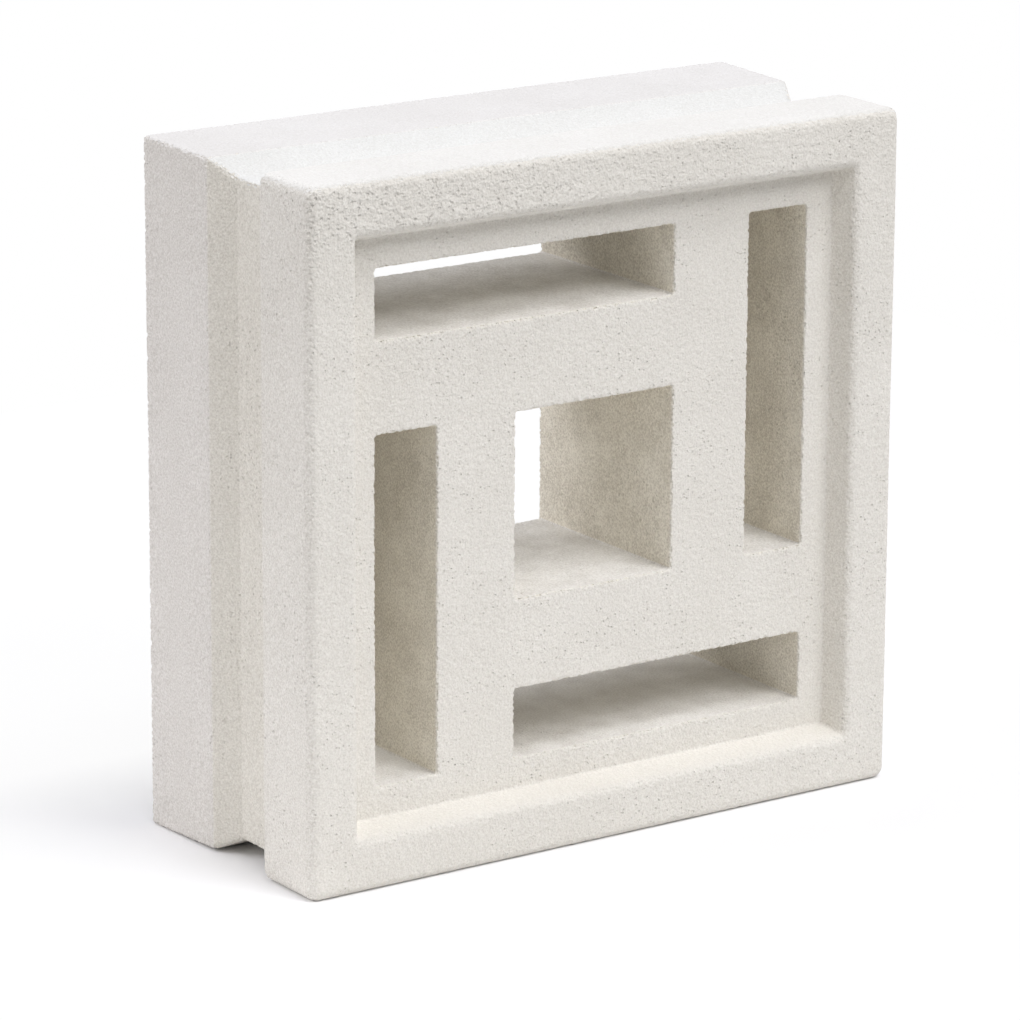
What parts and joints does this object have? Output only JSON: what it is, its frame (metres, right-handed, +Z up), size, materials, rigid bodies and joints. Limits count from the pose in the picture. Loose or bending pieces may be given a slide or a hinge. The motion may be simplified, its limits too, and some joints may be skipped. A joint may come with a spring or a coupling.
{
  "type": "decorative screen block",
  "caption": "Square pierced concrete screen block: a pinwheel of straight cells in a sunk panel, a front frame, and a mortar groove round its sides.",
  "frame": {"origin": "middle of the bed, on the floor", "axes": "+Z up, -Y out of the front face, +X to the right as seen from the front"},
  "size_m": [0.19, 0.08, 0.19],
  "materials": {
    "concrete": "matt, fine sandy cast concrete"
  },
  "bodies": {
    "root": {"screen_block": "concrete"}
  },
  "joints": []
}
